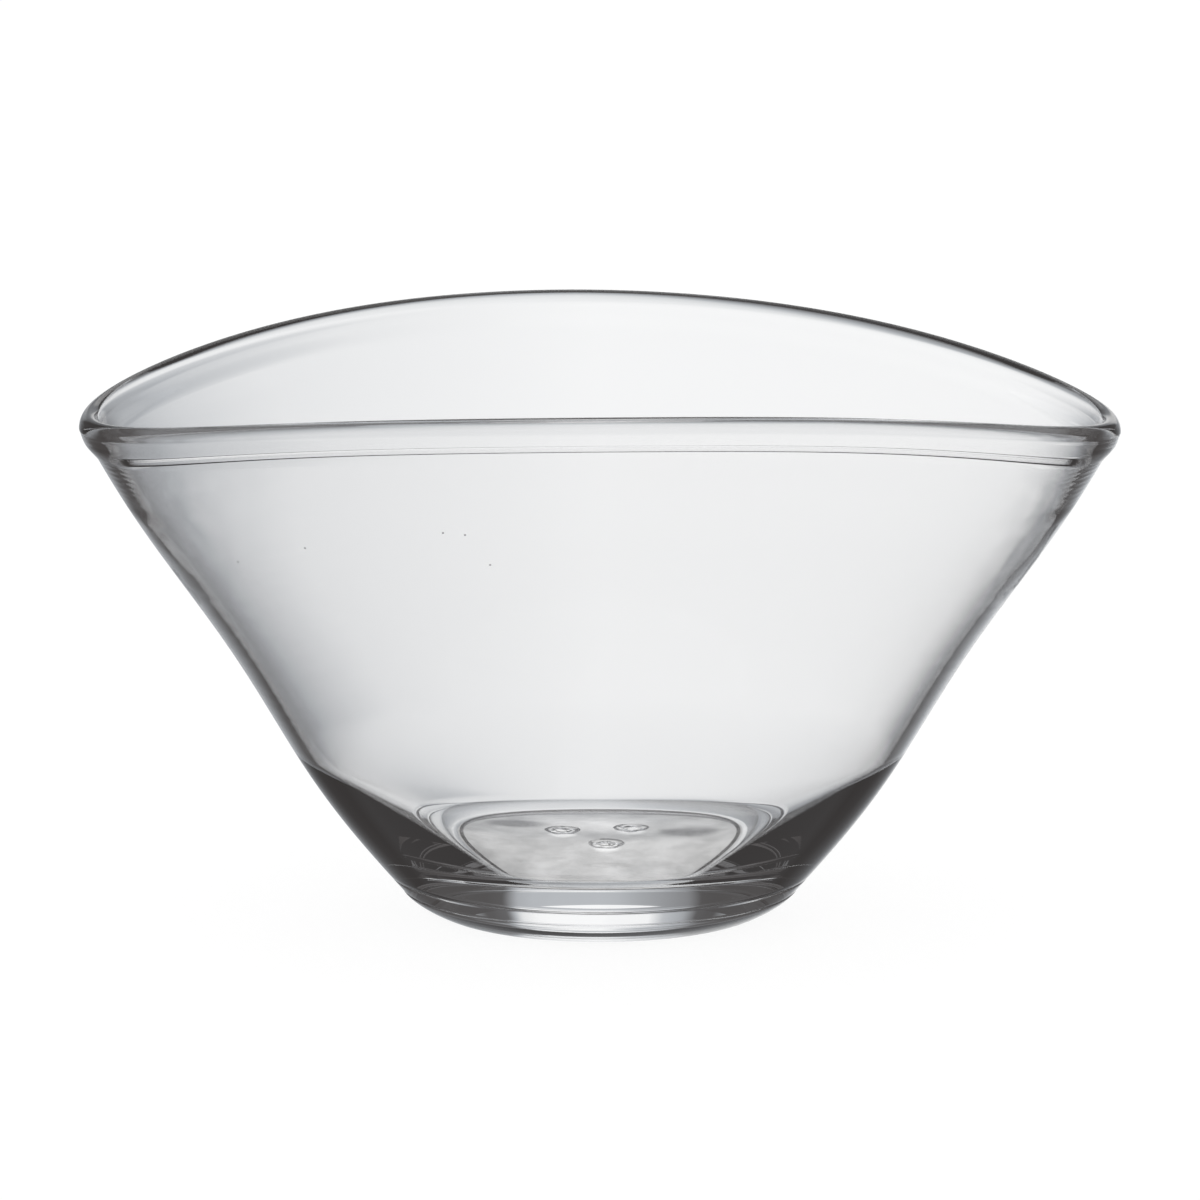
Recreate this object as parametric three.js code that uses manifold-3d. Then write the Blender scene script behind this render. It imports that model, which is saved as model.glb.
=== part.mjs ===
// A hand-blown oval bowl of clear glass. A flared wall was squeezed to an oval while it was hot,
// so the rim rises along the sides and dips at the ends. Its lip is turned out and down over the
// wall, its floor is thick, it stands on a low cast-on foot, and three small scars under the foot
// are the bits of glass that held it while the lip was worked.
// Millimetres, +Z up. The origin is the centre of the face that the bowl stands on, and +X runs
// along the oval.

import * as THREE from "three";
import { mergeVertices } from "three/addons/utils/BufferGeometryUtils.js";
import Module from "manifold-3d";

// Rim, measured over the lip
const rimLength = 300;
const rimWidth = 228.4;
const sideHeight = 163.8; // crown of the rim at the middle of a long side
const endHeight = 146; // crown of the rim at the ends, the mean of both
const endTilt = 1.2; // the left end stands this much higher than the right end
const saddleTwist = 1.84; // the high line of the rim is turned this much towards its back left
const dipReach = 0.28; // 0 spreads the dip of the ends evenly, 1 keeps it close to the ends
const diagonalDraw = 2.6; // the oval is drawn in this much between its axes

// Wall, measured across, and its outward swell from a straight cone
const wallThickness = 4.7;
const bellySwell = 3; // one swell between foot and rim
const lowSwell = 0.8; // more in the lower half, less in the upper half
const waistSwell = 1.4; // out near foot and rim, in at the waist between them

// Heel, where the wall thickens downwards to the floor
const heelTop = 49.5; // height above the table where it begins
const heelEnd = 14; // more glass at floor level, at the ends of the oval
const heelSide = 5.8; // more glass at floor level, at its sides
const heelSpread = 4; // more keeps the thicker heel closer to the ends
const heelPower = 1.75; // 1 thickens evenly, more gathers the glass near the floor

// Floor
const floorHeight = 19.6; // top of the thick floor above the table
const coveRun = 2; // the inner corner of floor and wall is a small oval cove
const coveRise = 3.1;

// Lip, with depths below the crown of the rim
const crownRise = 4.5; // from the widest line of the lip up to its crown
const lipThickness = 6.4; // through the widest line
const lipProud = 0.7; // the widest line stands this much outside the wall's own line
const endBulge = 0.9; // more bulge half way down the turned-over leaf, at the ends
const sideBulge = 0.1; // and at the sides, where the leaf lies almost flush
const bulgeSpread = 4; // more keeps the bulge of the ends closer to them
const lipHeight = 12.4; // crown to the lower edge of the leaf
const leafSeat = 2.7; // the wall is set in this much behind the leaf
const capDrop = 1.6; // the wall's top edge ends this far below the widest line
const lipBlend = 34; // the wall swells to the lip's thickness over this height
const airLineDrop = 8.6; // middle of the line of trapped air along the front, below the crown
const airLineSink = 1.2; // it lies this much lower at the ends
const airLineHeight = 1.9;
const airLineGrowth = 0.45; // it is taller by this share at the ends
const airLineSpread = 6; // more keeps both closer to the ends
const airLineDepth = 0.5;
const airLineEnd = 19; // degrees between the ends of the oval and those of the air line
const airLineTaper = 4; // degrees over which it runs out

// Foot
const footRadius = 57.3; // at the joint with the bowl
const footHeight = 7.2;
const standRadius = 45.5; // outer edge of the flat ring that it stands on
const hollowRadius = 43.4; // inner edge of that ring
const hollowDepth = 2.2; // the underside is hollow inside the ring
const ledgeHeight = 1.8; // the hollow begins with an eased ledge, and is nearly flat inside it
const ledgeRun = 1.5;
const footRoundness = 1.25; // 1 is a straight bevel, 2 a quarter of an ellipse
const jointGroove = 0.15; // bowl and foot are eased this much where they meet

// Scars
const scarCount = 3;
const scarCircle = 12; // radius of the circle that they lie on
const scarOffset = 3; // that circle is set back this much from the axis
const scarLength = 9.4;
const scarWidth = 7.8;
const scarDrop = 1.1; // they hang this far below the hollow
const scarTurn = 39; // direction of the first, in degrees from +X

const fuseGap = 0.3; // pieces that are fused in the glass are drawn this far apart

// Fineness of the facets
const stations = 64;
const wallSteps = 14;
const heelSteps = 9;
const coveSteps = 5;
const leafSteps = 5;
const crownSteps = 8;
const airLineSteps = 4;
const edgeSteps = 6;
const hollowSteps = 6;
const ledgeSteps = 4;
const scarSides = 16;

const TURN = 2 * Math.PI;

const wasm = await Module();
wasm.setup();

// Even steps from start to end, both included.
function steps(start, end, count) {
  return Array.from({ length: count + 1 }, (_, i) => start + ((end - start) * i) / count);
}

// Height of the rim's crown in one direction from the axis.
function crownHeight(angle) {
  const along = Math.cos(angle);
  const across = Math.sin(angle);
  const dip = along ** 2 * (1 - dipReach * across ** 2);
  const tilt = along * (endTilt / 2 + saddleTwist * across);
  return sideHeight - (sideHeight - endHeight) * dip - tilt;
}

// Height of the lip's widest line, where the wall's own line ends.
function wallTop(angle) {
  return crownHeight(angle) - crownRise;
}

// A point at a given height, set in by so much from the wall's outer line.
function wallPoint(angle, height, inset) {
  const rise = (height - footHeight) / (wallTop(angle) - footHeight);
  const swell =
    bellySwell * Math.sin(Math.PI * rise) +
    lowSwell * Math.sin(2 * Math.PI * rise) +
    waistSwell * Math.sin(3 * Math.PI * rise);
  const draw = diagonalDraw * rise * Math.sin(2 * angle) ** 2;
  const foot = footRadius + swell - draw - inset;
  const along = foot + (rimLength / 2 - lipProud - footRadius) * rise;
  const across = foot + (rimWidth / 2 - lipProud - footRadius) * rise;
  return new THREE.Vector3(along * Math.cos(angle), across * Math.sin(angle), height);
}

// How far the inner face lies in from the wall's outer line, at a given height.
function innerInset(angle, height) {
  const below = wallTop(angle) - height;
  const blend = THREE.MathUtils.smoothstep(lipBlend - below, 0, lipBlend);
  const wall = THREE.MathUtils.lerp(wallThickness, lipThickness - lipProud, blend);
  const low = THREE.MathUtils.clamp((heelTop - height) / (heelTop - floorHeight), 0, 1);
  const share = Math.abs(Math.cos(angle)) ** heelSpread;
  const heel = THREE.MathUtils.lerp(heelSide, heelEnd, share);
  const rise = THREE.MathUtils.clamp((height - floorHeight) / coveRise, 0, 1);
  const cove = coveRun * (1 - Math.sqrt(1 - (1 - rise) ** 2));
  return wall + heel * low ** heelPower + cove;
}

// Depth of the trapped air in one direction from the axis: there is none along the back.
function airDepth(angle) {
  const past = Math.min(angle - Math.PI, TURN - angle);
  const share = (THREE.MathUtils.radToDeg(past) - airLineEnd) / airLineTaper;
  return airLineDepth * THREE.MathUtils.smoothstep(share, 0, 1);
}

// A closed skin through one profile at each station round the axis. Each profile runs outwards
// along the bottom, up the outside and back. It closes on itself, or, where poles gives the
// heights of its two ends, on the axis.
function ovalSkin(profileAt, poles) {
  const positions = [];
  const triangles = [];
  const angles = steps(0, TURN, stations).slice(0, stations);
  const profiles = angles.map(profileAt);
  const count = profiles[0].length;
  profiles.flat().forEach((point) => positions.push(point.x, point.y, point.z));
  const at = (station, i) => (station % stations) * count + (i % count);
  const spans = poles ? count - 1 : count;
  for (let station = 0; station < stations; station++) {
    for (let i = 0; i < spans; i++) {
      const a = at(station, i);
      const b = at(station + 1, i);
      const c = at(station + 1, i + 1);
      const d = at(station, i + 1);
      triangles.push(a, b, c, a, c, d);
    }
  }
  if (poles) {
    const bottom = stations * count;
    const top = bottom + 1;
    positions.push(0, 0, poles.bottom, 0, 0, poles.top);
    for (let station = 0; station < stations; station++) {
      triangles.push(bottom, at(station + 1, 0), at(station, 0));
      triangles.push(top, at(station, count - 1), at(station + 1, count - 1));
    }
  }
  const geometry = new THREE.BufferGeometry();
  geometry.setAttribute("position", new THREE.Float32BufferAttribute(positions, 3));
  geometry.setIndex(triangles);
  return geometry;
}

// The blown wall and floor: underside, outer wall, the seat behind the leaf, inner wall, heel
// and cove.
function bowlProfile(angle) {
  const crown = crownHeight(angle);
  const underside = footHeight + fuseGap;
  const shoulder = crown - lipHeight - fuseGap;
  const top = wallTop(angle) - capDrop - fuseGap;
  const outer = steps(underside + jointGroove, shoulder, wallSteps);
  const inner = steps(top, heelTop, wallSteps);
  const heel = steps(heelTop, floorHeight + coveRise, heelSteps).slice(1);
  const cove = steps(0, Math.PI / 2, coveSteps)
    .slice(1)
    .map((turn) => floorHeight + coveRise * (1 - Math.sin(turn)));
  return [
    wallPoint(angle, underside, jointGroove),
    ...outer.map((height) => wallPoint(angle, height, 0)),
    wallPoint(angle, shoulder, leafSeat),
    wallPoint(angle, top, leafSeat),
    ...[...inner, ...heel, ...cove].map((height) =>
      wallPoint(angle, height, innerInset(angle, height)),
    ),
  ];
}

// The lip: the leaf's outer face from its lower edge upwards, the crown, the inner face, and
// back along the wall's top edge and the seat, where the air line is a channel in the leaf.
function lipProfile(angle) {
  const crown = crownHeight(angle);
  const widest = wallTop(angle);
  const cap = widest - capDrop;
  const lower = crown - lipHeight;
  const leafInset = leafSeat - fuseGap;
  const bulge = THREE.MathUtils.lerp(sideBulge, endBulge, Math.cos(angle) ** bulgeSpread);
  const leaf = steps(1, 0, leafSteps).map((down) => {
    const turnedOut = lipProud * THREE.MathUtils.smoothstep(1 - down, 0, 1);
    const proud = turnedOut + bulge * Math.sin(Math.PI * down);
    return wallPoint(angle, THREE.MathUtils.lerp(widest, lower, down), -proud);
  });
  const over = steps(0, Math.PI, crownSteps)
    .slice(1)
    .map((turn) => {
      const inset = -lipProud + (lipThickness / 2) * (1 - Math.cos(turn));
      return wallPoint(angle, widest, inset).setZ(widest + crownRise * Math.sin(turn));
    });
  const towardsEnd = Math.cos(angle) ** airLineSpread;
  const airLevel = crown - airLineDrop - airLineSink * towardsEnd;
  const airHeight = airLineHeight * (1 + airLineGrowth * towardsEnd);
  const channel = steps(0, Math.PI, airLineSteps).map((turn) => {
    const height = airLevel + (airHeight / 2) * Math.cos(turn);
    return wallPoint(angle, height, leafInset - airDepth(angle) * Math.sin(turn));
  });
  return [
    ...leaf,
    ...over,
    wallPoint(angle, cap, innerInset(angle, cap)),
    wallPoint(angle, cap, leafInset),
    ...channel,
    wallPoint(angle, lower, leafInset),
  ];
}

// Height of the hollow under the foot: an arc about the axis, above the ledge.
function hollowHeight(radius) {
  const dome = hollowDepth - ledgeHeight;
  const arc = (hollowRadius ** 2 + dome ** 2) / (2 * dome);
  const ledge = ledgeHeight * THREE.MathUtils.smoothstep(hollowRadius - radius, 0, ledgeRun);
  return ledge + dome - arc + Math.sqrt(arc ** 2 - radius ** 2);
}

// The cast-on foot: a disc with a rounded edge, a flat standing ring and a hollow underside.
function footGeometry() {
  const inside = hollowRadius - ledgeRun;
  const radii = [
    ...steps(0, inside, hollowSteps),
    ...steps(inside, hollowRadius, ledgeSteps).slice(1),
  ];
  const hollow = radii.map((radius) => new THREE.Vector2(radius, hollowHeight(radius)));
  const edgeTop = footHeight - jointGroove;
  const edge = steps(0, Math.PI / 2, edgeSteps).map((turn) => {
    const out = Math.sin(turn) ** (2 / footRoundness);
    const up = 1 - Math.cos(turn) ** (2 / footRoundness);
    return new THREE.Vector2(standRadius + (footRadius - standRadius) * out, edgeTop * up);
  });
  const top = [
    new THREE.Vector2(footRadius - jointGroove, footHeight),
    new THREE.Vector2(0, footHeight),
  ];
  const geometry = new THREE.LatheGeometry([...hollow, ...edge, ...top], stations);
  return geometry.rotateX(Math.PI / 2);
}

// A three.js geometry as a solid that can be cut, and back.
function solidOf(geometry) {
  const bare = geometry.clone();
  bare.deleteAttribute("normal");
  bare.deleteAttribute("uv");
  const merged = mergeVertices(bare);
  const vertProperties = merged.attributes.position.array;
  const triVerts = new Uint32Array(merged.index.array);
  return new wasm.Manifold(new wasm.Mesh({ numProp: 3, vertProperties, triVerts }));
}

function geometryOf(solid) {
  const { vertProperties, triVerts } = solid.getMesh();
  const geometry = new THREE.BufferGeometry();
  geometry.setAttribute("position", new THREE.BufferAttribute(vertProperties, 3));
  geometry.setIndex(new THREE.BufferAttribute(triVerts, 1));
  return geometry;
}

// A scar: a low bead of glass under the hollow of the foot, cut to the hollow's own curve.
function scarGeometry(foot, angle) {
  const x = scarCircle * Math.cos(angle);
  const y = scarCircle * Math.sin(angle) + scarOffset;
  const bead = new THREE.SphereGeometry(1, scarSides, scarSides / 2);
  bead.scale(scarLength / 2, scarWidth / 2, scarDrop);
  bead.translate(x, y, hollowHeight(Math.hypot(x, y)) - fuseGap);
  const lowered = solidOf(foot.clone().translate(0, 0, -fuseGap));
  return geometryOf(solidOf(bead).subtract(lowered));
}

// Clear glass, with the cool grey that its thick parts show.
function glass(color) {
  return new THREE.MeshStandardMaterial({
    color,
    roughness: 0.05,
    metalness: 0,
    transparent: true,
    opacity: 0.4,
  });
}

const bowl = new THREE.Group();

function add(name, geometry, color) {
  const mesh = new THREE.Mesh(geometry, glass(color));
  mesh.name = name;
  bowl.add(mesh);
}

const poles = { bottom: footHeight + fuseGap, top: floorHeight };
const foot = footGeometry();

add("bowl_body", ovalSkin(bowlProfile, poles), 0xeceeef);
add("folded_lip", ovalSkin(lipProfile), 0xdfe2e4);
add("foot", foot, 0xd2d6d8);
for (let i = 0; i < scarCount; i++) {
  const angle = THREE.MathUtils.degToRad(scarTurn) + (TURN * i) / scarCount;
  add(`pontil_scar_${i + 1}`, scarGeometry(foot, angle), 0xc6cacc);
}

export default bowl;
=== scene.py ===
"""Dresses an oval bowl of clear hand-blown glass and sets it on a white table before a camera.

The bowl is one fused piece of glass, made of a blown wall with a thick floor, a lip that is turned
out and down over the wall, a low cast-on foot and three scars under the foot. Each is a closed
piece here. Where two of them are fused, their faces are clear, so light passes straight through the
joint, and where air is trapped between them, the faces are glass. Metres, in the frame's own axes.
"""

from __future__ import annotations

import logging
import math
from collections.abc import Mapping, Sequence
from dataclasses import dataclass, field
from enum import Enum
from functools import reduce
from typing import Any, Union

import bpy
import numpy as np
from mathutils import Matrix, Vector


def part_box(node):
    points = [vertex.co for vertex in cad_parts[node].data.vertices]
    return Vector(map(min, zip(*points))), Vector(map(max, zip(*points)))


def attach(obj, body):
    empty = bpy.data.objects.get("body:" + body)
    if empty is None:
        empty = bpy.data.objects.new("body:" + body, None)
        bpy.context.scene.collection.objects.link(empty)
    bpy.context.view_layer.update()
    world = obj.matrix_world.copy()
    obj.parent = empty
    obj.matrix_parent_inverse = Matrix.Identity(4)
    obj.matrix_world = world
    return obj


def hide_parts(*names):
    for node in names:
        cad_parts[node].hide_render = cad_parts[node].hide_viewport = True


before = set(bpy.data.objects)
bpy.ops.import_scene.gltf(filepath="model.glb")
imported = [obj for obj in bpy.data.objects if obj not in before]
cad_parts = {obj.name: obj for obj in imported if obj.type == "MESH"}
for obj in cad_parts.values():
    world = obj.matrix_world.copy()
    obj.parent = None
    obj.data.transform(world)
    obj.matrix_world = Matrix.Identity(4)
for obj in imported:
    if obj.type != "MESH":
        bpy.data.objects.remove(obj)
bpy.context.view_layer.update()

MM = 0.001
TURN = 2 * math.pi
PHOTO_SIDE = 1200
SHARP_EDGE = math.radians(50)

SEEDS = (
    (-44.0 * MM, -98.4 * MM, 128.8 * MM),
    (-37.8 * MM, -99.9 * MM, 128.5 * MM),
    (-30.8 * MM, -98.0 * MM, 119.6 * MM),
    (-102.7 * MM, -58.8 * MM, 113.2 * MM),
    (-83.2 * MM, -77.8 * MM, 120.7 * MM),
)

log = logging.getLogger("oval_bowl")

Number = Union[int, float]
Array = np.ndarray
Stops = Sequence[tuple[float, float]]


class Span(Enum):
    """What the faces of one stretch of a profile are: the index of their material slot."""

    GLASS = 0
    FUSED = 1


class Value:
    """A shader socket that takes part in Python arithmetic."""

    def __init__(self, sheet: "Sheet", socket: bpy.types.NodeSocket) -> None:
        """Wraps a socket of the sheet's node tree."""
        self.sheet = sheet
        self.socket = socket

    def _math(self, operation: str, *others: "Value | Number") -> "Value":
        """Adds one Math node with this value as its first input.

        Args:
            operation: The Math node's operation.
            others: Its other inputs.

        Returns:
            The node's result.
        """
        sockets = dict(enumerate((self, *others)))
        return self.sheet.value("ShaderNodeMath", {"operation": operation}, sockets)

    def _flipped(self, operation: str, first: Number) -> "Value":
        """Adds a Math node with a number as its first input and this value as its second."""
        return self.sheet.value("ShaderNodeMath", {"operation": operation}, {0: first, 1: self})

    def __add__(self, other: "Value | Number") -> "Value":
        """self + other"""
        return self._math("ADD", other)

    __radd__ = __add__

    def __sub__(self, other: "Value | Number") -> "Value":
        """self - other"""
        return self._math("SUBTRACT", other)

    def __rsub__(self, other: Number) -> "Value":
        """other - self"""
        return self._flipped("SUBTRACT", other)

    def __mul__(self, other: "Value | Number") -> "Value":
        """self * other"""
        return self._math("MULTIPLY", other)

    __rmul__ = __mul__

    def __truediv__(self, other: "Value | Number") -> "Value":
        """self / other"""
        return self._math("DIVIDE", other)

    def __rtruediv__(self, other: Number) -> "Value":
        """other / self"""
        return self._flipped("DIVIDE", other)

    def larger(self, other: "Value | Number") -> "Value":
        """The larger of two values."""
        return self._math("MAXIMUM", other)

    def smaller(self, other: "Value | Number") -> "Value":
        """The smaller of two values."""
        return self._math("MINIMUM", other)

    def size(self) -> "Value":
        """The value without its sign."""
        return self._math("ABSOLUTE")

    def sine(self) -> "Value":
        """The sine of an angle in radians."""
        return self._math("SINE")

    def arcsine(self) -> "Value":
        """The angle, in degrees, whose sine this is."""
        return self._math("ARCSINE") * math.degrees(1)

    def angle_from(self, ahead: "Value") -> "Value":
        """The angle, in degrees, of a step that goes this far up and so far ahead."""
        return self._math("ARCTAN2", ahead) * math.degrees(1)

    def curve(self, stops: Stops) -> "Value":
        """A level that runs straight from stop to stop.

        Args:
            stops: Pairs of a value and the level there, in rising order of value.

        Returns:
            The level.
        """
        first = stops[0][0]
        length = stops[-1][0] - first
        places = [((x - first) / length, (level, level, level, 1.0)) for x, level in stops]
        share = (self - first) / length
        return self.sheet.value("ShaderNodeValToRGB", {"stops": places}, {"Fac": share})

    def ease(self, start: float, end: float) -> "Value":
        """A smooth rise from 0 at start to 1 at end; start may lie above end.

        Args:
            start: Where the rise begins.
            end: Where it is complete.

        Returns:
            The eased value.
        """
        low, high = (start, end) if start < end else (end, start)
        sockets = {"Value": self, "From Min": low, "From Max": high}
        sockets["To Min"] = 0.0 if start < end else 1.0
        sockets["To Max"] = 1.0 - sockets["To Min"]
        settings = {"interpolation_type": "SMOOTHSTEP"}
        return self.sheet.value("ShaderNodeMapRange", settings, sockets)


class Sheet:
    """A node tree, with one way to add nodes to it."""

    def __init__(self, tree: bpy.types.NodeTree) -> None:
        """Empties the tree."""
        self.tree = tree
        tree.nodes.clear()

    def node(
        self,
        kind: str,
        settings: Mapping[str, Any] | None = None,
        sockets: Mapping[int | str, Any] | None = None,
    ) -> bpy.types.Node:
        """Adds a node.

        Args:
            kind: The node's type.
            settings: Its properties, which are set first; stops are those of its ramp.
            sockets: Values or links for its inputs, by name or index.

        Returns:
            The new node.
        """
        made = self.tree.nodes.new(kind)
        for name, setting in (settings or {}).items():
            if name == "stops":
                self.lay_stops(made.color_ramp, setting)
            else:
                setattr(made, name, setting)
        for key, item in (sockets or {}).items():
            self.plug(made.inputs[key], item)
        return made

    @staticmethod
    def lay_stops(ramp: bpy.types.ColorRamp, stops: Sequence[tuple[float, Sequence[float]]]) -> None:
        """Lays a ramp's stops.

        Args:
            ramp: The ramp, with its two first stops.
            stops: A place from 0 to 1 and a colour for each stop.
        """
        for place, colour in stops[1:-1]:
            ramp.elements.new(place).color = colour
        for element, (place, colour) in ((ramp.elements[0], stops[0]), (ramp.elements[-1], stops[-1])):
            element.position = place
            element.color = colour

    def plug(self, socket: bpy.types.NodeSocket, item: Any) -> None:
        """Links a value, or another socket, to a socket, or sets a constant on it.

        Args:
            socket: The socket that is fed.
            item: What feeds it.
        """
        if isinstance(item, Value):
            self.tree.links.new(item.socket, socket)
        elif isinstance(item, bpy.types.NodeSocket):
            self.tree.links.new(item, socket)
        else:
            socket.default_value = item

    def value(
        self,
        kind: str,
        settings: Mapping[str, Any] | None = None,
        sockets: Mapping[int | str, Any] | None = None,
        output: int | str = 0,
    ) -> Value:
        """Adds a node and returns one of its outputs as a value.

        Args:
            kind: The node's type.
            settings: Its properties.
            sockets: Values or links for its inputs.
            output: The output to return.

        Returns:
            That output.
        """
        return Value(self, self.node(kind, settings, sockets).outputs[output])

    def vector(self, operation: str, first: Any, second: Any = (0, 0, 0), output: str = "Vector") -> Value:
        """Adds a Vector Math node.

        Args:
            operation: The node's operation.
            first: Its first vector.
            second: Its second vector.
            output: The output to return, which is Value where the result is a number.

        Returns:
            The node's result.
        """
        return self.value("ShaderNodeVectorMath", {"operation": operation}, {0: first, 1: second}, output)

    def noise(self, place: Value, scale: float, detail: float, roughness: float = 0.5) -> Value:
        """The level, from 0 to 1, of a noise that fills space."""
        sockets = {"Vector": place, "Scale": scale, "Detail": detail, "Roughness": roughness}
        return self.value("ShaderNodeTexNoise", {"noise_dimensions": "3D"}, sockets)

    def blend(self, factor: Value, first: Any, second: Any) -> bpy.types.NodeSocket:
        """A colour that goes from the first to the second as the factor goes from 0 to 1."""
        sockets = {"Factor": factor, 6: first, 7: second}
        return self.node("ShaderNodeMix", {"data_type": "RGBA"}, sockets).outputs[2]

    def finish(self, shader: bpy.types.Node, kind: str = "ShaderNodeOutputMaterial") -> None:
        """Makes a shader the tree's result."""
        self.node(kind, None, {"Surface": shader.outputs[0]})

    def oval_distance(self, place: Value, x: float, y: float, half_x: float, half_y: float) -> Value:
        """How far places lie from an upright oval's axis, where its outline is at a distance of 1.

        Args:
            place: The place to measure from.
            x: Where the oval's axis lies.
            y: Where it lies the other way.
            half_x: Half of the oval's length along x.
            half_y: Half of its length along y.

        Returns:
            The distance.
        """
        offset = self.vector("SUBTRACT", place, (x, y, 0))
        scaled = self.vector("MULTIPLY", offset, (1 / half_x, 1 / half_y, 0))
        return self.vector("LENGTH", scaled, output="Value")


def new_finish(name: str) -> tuple[bpy.types.Material, Sheet]:
    """Makes an empty material.

    Args:
        name: The material's name.

    Returns:
        The material and the sheet of its nodes.
    """
    made = bpy.data.materials.new(name)
    made.use_nodes = True
    return made, Sheet(made.node_tree)


def new_object(name: str, data: bpy.types.ID) -> bpy.types.Object:
    """Makes an object and links it to the scene.

    Args:
        name: The object's name.
        data: Its mesh or camera.

    Returns:
        The object.
    """
    made = bpy.data.objects.new(name, data)
    bpy.context.scene.collection.objects.link(made)
    return made


def new_mesh(name: str, points: list, faces: list, slots: list[int]) -> bpy.types.Mesh:
    """Makes a smooth mesh.

    Args:
        name: The mesh's name.
        points: Its points.
        faces: The points of each face.
        slots: The material slot of each face.

    Returns:
        The mesh.
    """
    made = bpy.data.meshes.new(name)
    made.from_pydata(points, [], faces)
    made.polygons.foreach_set("material_index", slots)
    made.polygons.foreach_set("use_smooth", [True] * len(faces))
    return made


def new_face(name: str, outline: list) -> tuple[bpy.types.Object, Sheet]:
    """Makes an object of one flat face, with an empty material.

    Args:
        name: The name of object, mesh and material.
        outline: The face's corners, in order.

    Returns:
        The object and the sheet of its material's nodes.
    """
    mesh = bpy.data.meshes.new(name)
    mesh.from_pydata(outline, [], [list(range(len(outline)))])
    finish, sheet = new_finish(name)
    mesh.materials.append(finish)
    return new_object(name, mesh), sheet


@dataclass(frozen=True)
class ScarSpot:
    """Where a scar lies under the foot, and the chip that the iron broke out of it."""

    x: float
    y: float
    chip_turn: float
    length: float = 10.6 * MM
    width: float = 9.8 * MM
    drop: float = 1.6 * MM
    chip_depth: float = 1.0
    chip_size: float = 0.5
    chip_offset: float = 0.2
    ridge: float = 0.2
    ridge_count: int = 5
    ridge_twist: float = 3.0
    least: float = 0.04

    def reach(self, points: Array) -> tuple[Array, Array]:
        """Points in the scar's own measure, where its outline is at a distance of 1."""
        return (points[..., 0] - self.x) * 2 / self.length, (points[..., 1] - self.y) * 2 / self.width

    def covers(self, grid: Array) -> Array:
        """Which cells of a grid of points lie under the scar.

        Args:
            grid: Points by station and row; the stations close in a ring.

        Returns:
            One flag for each cell.
        """
        ahead = np.roll(grid, -1, axis=0)
        middle = (grid[:, :-1] + grid[:, 1:] + ahead[:, :-1] + ahead[:, 1:]) / 4
        return np.hypot(*self.reach(middle)) < 1

    def hang(self, points: Array) -> Array:
        """How far the scar hangs below given points.

        Args:
            points: Points under the foot.

        Returns:
            The depth of glass at each.
        """
        u, v = self.reach(points)
        out = np.minimum(np.hypot(u, v), 1)
        turn = np.arctan2(v, u)
        bead = np.sqrt(1 - out**2)
        du = u - self.chip_offset * math.cos(self.chip_turn)
        dv = v - self.chip_offset * math.sin(self.chip_turn)
        chip = self.chip_depth * np.exp(-(du**2 + dv**2) / self.chip_size**2)
        wave = self.ridge_count * turn + self.ridge_twist * out + self.chip_turn
        ridges = self.ridge * out * np.sin(wave)
        return self.drop * np.maximum(bead * (1 - chip + ridges), self.least)


SCAR_SPOTS = (
    ScarSpot(x=9.33 * MM, y=10.55 * MM, chip_turn=0.4),
    ScarSpot(x=-11.2 * MM, y=7.3 * MM, chip_turn=2.9),
    ScarSpot(x=1.88 * MM, y=-8.85 * MM, chip_turn=4.3),
)


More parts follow.
